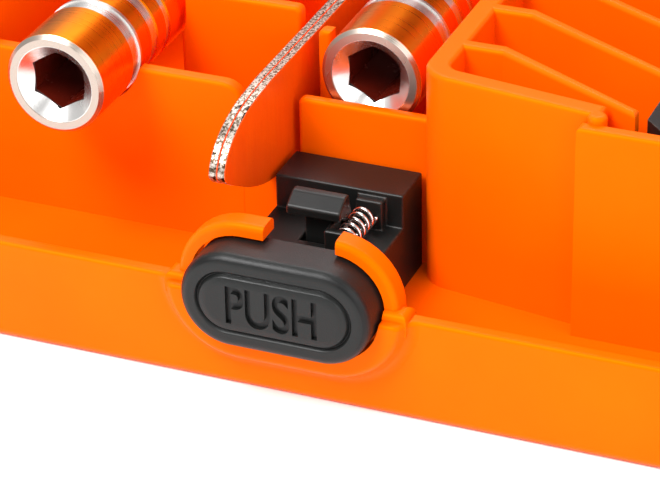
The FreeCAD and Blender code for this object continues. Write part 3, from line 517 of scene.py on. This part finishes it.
def readPoints(mesh):
    # a mesh's points as rows of x, y and z
    points = np.empty(len(mesh.vertices) * 3)
    mesh.vertices.foreach_get("co", points)
    return points.reshape(-1, 3)


def addSurface(name, points, faces, node, material):
    mesh = bpy.data.meshes.new(name)
    mesh.from_pydata(points.reshape(-1, 3).tolist(), [], faces)
    closeMesh(mesh, 1e-7)
    return addPiece(name, mesh, node, material)


def gridFaces(rows, columns, closed):
    # quads of a grid of points, joined up along its columns where closed
    row, column = np.meshgrid(np.arange(rows - 1), np.arange(columns if closed else columns - 1),
                              indexing="ij")
    following = (column + 1) % columns
    corners = (row * columns + column, row * columns + following, (row + 1) * columns + following,
               (row + 1) * columns + column)
    return np.stack(corners, axis=-1).reshape(-1, 4).tolist()


softEdges = {"latch_housing": 0.16, "latch_slider": 0.18, "tweezer_blade_left": 0.1,
             "tweezer_blade_right": 0.1}                    # rounding of each moulded or ground edge, in mm
softSettings = {"segments": 3, "sharpFrom": 32, "flatWithin": 0.5, "join": 1e-6}


def softCopy(node, width):
    # the CAD node's own shape with its sharp edges rounded off
    mesh = frame["nodes"][node].data.copy()
    work = bmesh.new()
    work.from_mesh(mesh)
    bmesh.ops.remove_doubles(work, verts=work.verts, dist=softSettings["join"])
    bmesh.ops.dissolve_limit(work, angle_limit=math.radians(softSettings["flatWithin"]), verts=work.verts,
                             edges=work.edges)
    work.to_mesh(mesh)
    work.free()
    if mesh.has_custom_normals:
        mesh.attributes.remove(mesh.attributes["custom_normal"])
    piece = addPiece(f"{node}_soft", mesh, node, materialFor(node))
    bevel = piece.modifiers.new("softEdges", "BEVEL")
    bevel.width = width
    bevel.segments = softSettings["segments"]
    bevel.limit_method = "ANGLE"
    bevel.angle_limit = math.radians(softSettings["sharpFrom"])
    bevel.harden_normals = True
    bevel.use_clamp_overlap = False


for node, width in softEdges.items():
    softCopy(node, width * mm)
print("soft-edged copies made")


# --- push button: rounded rim, sunk line and a pillow with an engraved word

buttonSettings = {"round": 0.75, "rimDrop": 0.22, "grooveInset": 1.2, "grooveWide": 0.5, "grooveDeep": 0.24,
                  "pillowRound": 0.8, "crown": 0.05, "columns": 192, "rimRings": 9, "faceRings": 90,
                  "backRings": 3, "sharpFrom": 35, "word": "PUSH", "wordWide": 7.0, "wordTall": 3.1,
                  "wordDeep": 0.3, "wordBold": 0.022}


def obroundRing(half, radius, inset, columns):
    # a slot outline moved in by inset: x = sign * straight + r cos(a), z = r sin(a), at even turns of a
    turn = (np.arange(columns) + 0.5) / columns * 2 * np.pi
    straight = half - radius
    reach = np.maximum(radius - inset, 0)
    x = np.sign(np.cos(turn)) * straight + reach[:, None] * np.cos(turn)
    return x, reach[:, None] * np.sin(turn)


def buttonProfile(radius, thick):
    # inset and rise of every ring from the back's middle to the front's: a quarter-round rim, a groove
    # sin^2 deep, and a pillow that lifts as a sine and crowns as a parabola
    s = buttonSettings
    turn = np.linspace(0, np.pi / 2, s["rimRings"])
    rim = s["round"] * mm
    inset = np.concatenate([[0.0], rim * (1 - np.cos(turn)), np.linspace(rim, radius, s["faceRings"])[1:]])
    rise = np.concatenate([[-thick + s["rimDrop"] * mm], rim * (np.sin(turn) - 1),
                           np.zeros(s["faceRings"] - 1)])
    across = np.clip((inset - s["grooveInset"] * mm) / (s["grooveWide"] * mm), 0, 1)
    groove = -s["grooveDeep"] * mm * np.sin(np.pi * across) ** 2
    pillowStart = (s["grooveInset"] + 0.5 * s["grooveWide"]) * mm
    pillowIn = np.clip((inset - pillowStart) / (s["pillowRound"] * mm), 0, 1)
    pillow = (s["rimDrop"] - s["crown"]) * mm * np.sin(np.pi / 2 * pillowIn)
    crown = s["crown"] * mm * (1 - ((radius - inset) / radius) ** 2) * pillowIn
    rise = rise + groove + pillow + crown - s["rimDrop"] * mm
    backInset = np.linspace(0, radius, s["backRings"] + 1)[1:]
    return (np.concatenate([backInset[::-1], inset]),
            np.concatenate([np.full(s["backRings"], -thick), rise]))


def makeWord(middle, face):
    # the word as a closed solid, stood up and turned to face the front, half of it behind the face
    s = buttonSettings
    text = bpy.data.curves.new("word", "FONT")
    text.body = s["word"]
    text.align_x, text.align_y = "CENTER", "CENTER"
    text.extrude = 0.5
    text.offset = s["wordBold"]
    lettering = bpy.data.objects.new("word", text)
    scene.collection.objects.link(lettering)
    bpy.context.view_layer.update()
    mesh = bpy.data.meshes.new_from_object(lettering.evaluated_get(bpy.context.evaluated_depsgraph_get()))
    bpy.data.objects.remove(lettering)
    place = readPoints(mesh)
    span = place.max(axis=0) - place.min(axis=0)
    centre = (place.max(axis=0) + place.min(axis=0)) / 2
    place = (place - centre) / span * np.array([s["wordWide"], s["wordTall"], 2 * s["wordDeep"]]) * mm
    place = np.stack([middle[0] + place[:, 0], face - place[:, 2], middle[2] + place[:, 1]], axis=-1)
    mesh.vertices.foreach_set("co", place.ravel())
    closeMesh(mesh, 1e-8)
    word = bpy.data.objects.new("wordCutter", mesh)
    scene.collection.objects.link(word)
    return word


def makeButton():
    s = buttonSettings
    low, high = [np.array(corner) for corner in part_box("button_cap")]
    middle = (low + high) / 2
    half, radius = (high[0] - low[0]) / 2, (high[2] - low[2]) / 2
    inset, rise = buttonProfile(radius, high[1] - low[1])
    x, z = obroundRing(half, radius, inset, s["columns"])
    points = np.stack([middle[0] + x, low[1] - rise[:, None] + 0 * x, middle[2] + z], axis=-1)
    button = addSurface("button_face", points, gridFaces(len(inset), s["columns"], True), "button_cap",
                        buttonMaterial)
    cutter = makeWord(middle, low[1])
    engrave = button.modifiers.new("engrave", "BOOLEAN")
    engrave.operation = "DIFFERENCE"
    engrave.solver = "EXACT"
    engrave.object = cutter
    bpy.context.view_layer.update()
    engraved = bpy.data.meshes.new_from_object(button.evaluated_get(bpy.context.evaluated_depsgraph_get()))
    button.modifiers.clear()
    button.data = engraved
    bpy.data.objects.remove(cutter)
    engraved.set_sharp_from_angle(angle=math.radians(s["sharpFrom"]))


makeButton()
print("button made")


# --- latch spring: a round wire wound on a helix

springSettings = {"turns": 5, "wire": 0.3, "around": 12, "perTurn": 28, "travel": 1.6}


def makeSpring():
    # centre line (R cos t, pitch t, R sin t); each ring of the wire lies across it
    s = springSettings
    low, high = [np.array(corner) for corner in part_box("latch_spring")]
    wire = s["wire"] * mm / 2
    middle = (low + high) / 2
    radius = (high[0] - low[0]) / 2 - wire
    turn = np.linspace(0, 2 * np.pi * s["turns"], s["turns"] * s["perTurn"])
    along = low[1] + wire + (high[1] - low[1] - 2 * wire) * turn / turn[-1]
    angle = np.arange(s["around"]) / s["around"] * 2 * np.pi
    reach = radius + wire * np.cos(angle)[None, :]
    points = np.stack([middle[0] + reach * np.cos(turn)[:, None],
                       along[:, None] + wire * np.sin(angle)[None, :],
                       middle[2] + reach * np.sin(turn)[:, None]], axis=-1)
    faces = gridFaces(len(turn), s["around"], True)
    last = (len(turn) - 1) * s["around"]
    faces += [list(range(s["around"])), list(range(last, last + s["around"]))]
    spring = addSurface("latch_coil", points, faces, "latch_spring", materials["spring_steel"])
    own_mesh(spring)


makeSpring()
print("spring made")


# --- bits: hexagon shanks with cross, star, hexagon and flat tips

bitSettings = {"across": 4.0, "pitch": 8.0, "length": 28.0, "grip": 12.0, "shaft": 1.6, "tip": 4.0,
               "columns": 72, "tipRings": 12, "foot": 0.3, "notchFirst": 4.6, "notchWide": 1.6,
               "notchDeep": 0.32, "notchSlope": 0.3, "corner": 0.31, "neck": (0.5, 1.6),
               "sharpFrom": 28}                             # in mm, but counts and the angle
crossSettings = {"from": 0.25, "taper": 0.86, "grow": 2.2, "deep": 0.5, "lobe": 0.7}
starSettings = {"size": 0.78, "lobe": 0.13, "grow": 4, "shoulder": 0.15, "fade": 5}
hexSettings = {"size": 1.35, "grow": 4}
flatSettings = {"taper": 0.9, "edge": 0.3}


def polygonReach(angle, sides, across):
    # distance from the middle to a regular polygon's edge at an angle, from its width across flats
    step = 2 * np.pi / sides
    return across / 2 / np.cos((angle + step / 2) % step - step / 2)


def crossTip(angle, t, shaft):
    # a cone with four flutes: lobes |cos 2a|^power, deeper up the tip
    s = crossSettings
    taper = shaft * (1 - s["taper"] * max(t - s["from"], 0) / (1 - s["from"]))
    lobe = np.abs(np.cos(2 * angle)) ** s["lobe"]
    return taper * (1 - min(t * s["grow"], 1) * s["deep"] * (1 - lobe))


def starTip(angle, t, shaft):
    # six round lobes cos 6a on a straight pin, below a short shoulder
    s = starSettings
    reach = shaft * s["size"] * (1 + s["lobe"] * np.cos(6 * angle) * min(t * s["grow"], 1))
    return reach + (shaft * s["shoulder"]) * max(1 - t * s["fade"], 0)


def hexTip(angle, t, shaft):
    # a hexagon pin that grows out of the round shaft
    body = polygonReach(angle, 6, shaft * hexSettings["size"])
    return body + (shaft - body) * max(1 - t * hexSettings["grow"], 0)


def flatTip(angle, t, shaft):
    # a blade: the round shaft cut by two planes that close in up the tip
    half = shaft * (1 - t) * flatSettings["taper"] + flatSettings["edge"]
    return np.minimum(shaft, half / np.maximum(np.abs(np.sin(angle)), 1e-3))


tipShapes = {"cross": crossTip, "star": starTip, "hex": hexTip, "flat": flatTip}


def bitRings(kind):
    # height and reach of every ring of one bit, from the foot to the tip
    s = bitSettings
    angle = np.arange(s["columns"]) / s["columns"] * 2 * np.pi
    hexagon = polygonReach(angle + np.pi / 6, 6, s["across"])
    rounded = np.minimum(hexagon, s["across"] / 2)
    shaft = s["shaft"] * np.ones_like(angle)
    first, wide, slope = s["notchFirst"], s["notchWide"], s["notchSlope"]
    rings = [(0.0, 0 * angle), (0.0, rounded), (s["foot"], hexagon)]
    for height, cutIn in ((first, 0), (first + slope, 1), (first + wide, 1), (first + wide + slope, 0)):
        reach = s["across"] / 2 + s["corner"] - s["notchDeep"] * cutIn
        rings.append((height, np.minimum(hexagon, reach)))
    rings += [(s["grip"], hexagon), (s["grip"] + s["neck"][0], rounded),
              (s["grip"] + s["neck"][1], shaft), (s["length"] - s["tip"], shaft)]
    for t in np.linspace(0, 1, s["tipRings"])[1:]:
        rings.append((s["length"] - s["tip"] + s["tip"] * t, tipShapes[kind](angle, t, s["shaft"])))
    rings.append((s["length"], 0 * angle))
    height = np.array([ring[0] for ring in rings])
    reach = np.stack([ring[1] for ring in rings])
    return np.stack([reach * np.cos(angle), reach * np.sin(angle), height[:, None] + 0 * reach], axis=-1) * mm


def makeBits(node, kind):
    # one bit's rings, repeated wherever the CAD node has a bit standing
    s = bitSettings
    place = readPoints(frame["nodes"][node].data)
    corner = s["across"] / math.sqrt(3) * mm
    low = place.min(axis=0)
    inset = np.array([corner, s["across"] / 2 * mm])
    cells = np.unique(np.round((place[:, :2] - low[:2] - inset) / (s["pitch"] * mm)).astype(int), axis=0)
    one = bitRings(kind)
    rows, columns = one.shape[:2]
    faces = np.array(gridFaces(rows, columns, True))
    spots = np.column_stack([low[:2] + inset + cells * s["pitch"] * mm, np.full(len(cells), low[2])])
    points = one.reshape(1, -1, 3) + spots[:, None, :]
    first = np.arange(len(cells)) * rows * columns
    allFaces = (faces[None] + first[:, None, None]).reshape(-1, 4).tolist()
    piece = addSurface(f"{node}_ground", points, allFaces, node, materials["bit_steel"])
    piece.data.set_sharp_from_angle(angle=math.radians(s["sharpFrom"]))


for name in list(frame["nodes"]):
    if "_bits_" in name:
        makeBits(name, name.rsplit("_", 1)[1])
print("bits made")


# --- lid pad: a soft slab with a full edge, lying against the inside of the open lid

padSettings = {"rows": 60, "columns": 60, "lean": 97.0, "square": 40, "edge": 0.3, "wave": 0.06,
               "waves": (11, 9), "cornerIn": 0.012, "cornerPower": 8}


def makePad():
    # two sheets over a square u, v: thickness * ((1 - |u|^p)(1 - |v|^p)) raised to a low power, plus slow
    # waves on the side that shows
    s = padSettings
    place = readPoints(frame["nodes"]["lid_pad"].data)
    centre = (place.max(axis=0) + place.min(axis=0)) / 2
    lean = math.radians(s["lean"])
    across = np.array([1.0, 0, 0])
    upward = np.array([0, -math.cos(lean), math.sin(lean)])
    outward = np.cross(across, upward)
    local = (place - centre) @ np.stack([across, upward, outward], axis=1)
    half = (local.max(axis=0) - local.min(axis=0)) / 2
    centre = centre + ((local.max(axis=0) + local.min(axis=0)) / 2) @ np.stack([across, upward, outward])
    u, v = np.meshgrid(*(np.sin(np.linspace(-1, 1, s[count]) * np.pi / 2) for count in ("columns", "rows")))
    fall = ((1 - np.abs(u) ** s["square"]) * (1 - np.abs(v) ** s["square"])) ** s["edge"]
    wave = 1 - s["wave"] * (1 + np.sin(s["waves"][0] * u) * np.sin(s["waves"][1] * v))
    corner = 1 - s["cornerIn"] * (u ** s["cornerPower"] * v ** s["cornerPower"])
    sheets = []
    for sign in (1, -1):
        depth = sign * half[2] * fall * (wave if sign > 0 else 1)
        sheets.append(centre + (u * corner * half[0])[..., None] * across
                      + (v * corner * half[1])[..., None] * upward + depth[..., None] * outward)
    faces = gridFaces(s["rows"], s["columns"], False)
    count = s["rows"] * s["columns"]
    faces += [[number + count for number in reversed(face)] for face in faces]
    pad = addSurface("lid_pad_foam", np.stack(sheets), faces, "lid_pad", materials["foam"])


makePad()
print("pad made")


# --- floor, light and camera

floorSettings = {"size": 4.0, "color": (0.93, 0.93, 0.93), "rough": 0.7}
bpy.ops.mesh.primitive_plane_add(size=floorSettings["size"], location=(0, 0, lowest.z))
floor = bpy.context.object
floor.name = "floor"
paleFloor = newMaterial("paleFloor")[0]
floorShader = paleFloor.node_tree.nodes["Principled BSDF"]
floorShader.inputs["Base Color"].default_value = (*floorSettings["color"], 1)
floorShader.inputs["Roughness"].default_value = floorSettings["rough"]
floor.data.materials.append(paleFloor)

lightSettings = {
    "key": {"from": (-0.35, -0.6, 0.85), "size": 0.5, "power": 13},
    "fill": {"from": (0.8, -0.5, 0.5), "size": 0.9, "power": 4.5},
    "back": {"from": (-0.2, 0.6, 0.9), "size": 0.6, "power": 5},
}
target = Vector((0, front, 20 * mm))                        # the lights all point at the latch
for name, light in lightSettings.items():
    data = bpy.data.lights.new(name, "AREA")
    data.size = light["size"]
    data.energy = light["power"]
    lamp = bpy.data.objects.new(name, data)
    lamp.location = Vector(light["from"])
    lamp.rotation_euler = (target - lamp.location).to_track_quat("-Z", "Y").to_euler()
    scene.collection.objects.link(lamp)

worldSettings = {"color": (1, 1, 1, 1), "strength": 0.62}
world = bpy.data.worlds.new("studio")
scene.world = world
world.use_nodes = True
world.node_tree.nodes["Background"].inputs["Color"].default_value = worldSettings["color"]
world.node_tree.nodes["Background"].inputs["Strength"].default_value = worldSettings["strength"]
scene.view_settings.view_transform = "Standard"

cameraSettings = {"azimuth": 22.635, "elevation": 29.748, "roll": -1.107, "lens": 165.4,
                  "distance": 212.7 * mm, "aim": (3.388 * mm, 0.0, 13.075 * mm), "nearest": 10 * mm}
azimuth, elevation = (math.radians(cameraSettings[key]) for key in ("azimuth", "elevation"))
aim = Vector(cameraSettings["aim"]) + Vector((0, front, 0))
back = Vector((math.sin(azimuth) * math.cos(elevation), -math.cos(azimuth) * math.cos(elevation),
               math.sin(elevation)))
cameraData = bpy.data.cameras.new("camera")
cameraData.lens = cameraSettings["lens"]
cameraData.clip_start = cameraSettings["nearest"]
camera = bpy.data.objects.new("camera", cameraData)
camera.location = aim + back * cameraSettings["distance"]
roll = Matrix.Rotation(math.radians(cameraSettings["roll"]), 3, "Z")
camera.rotation_euler = (back.to_track_quat("Z", "Y").to_matrix() @ roll).to_euler()
scene.collection.objects.link(camera)
scene.camera = camera
print("light and camera set")
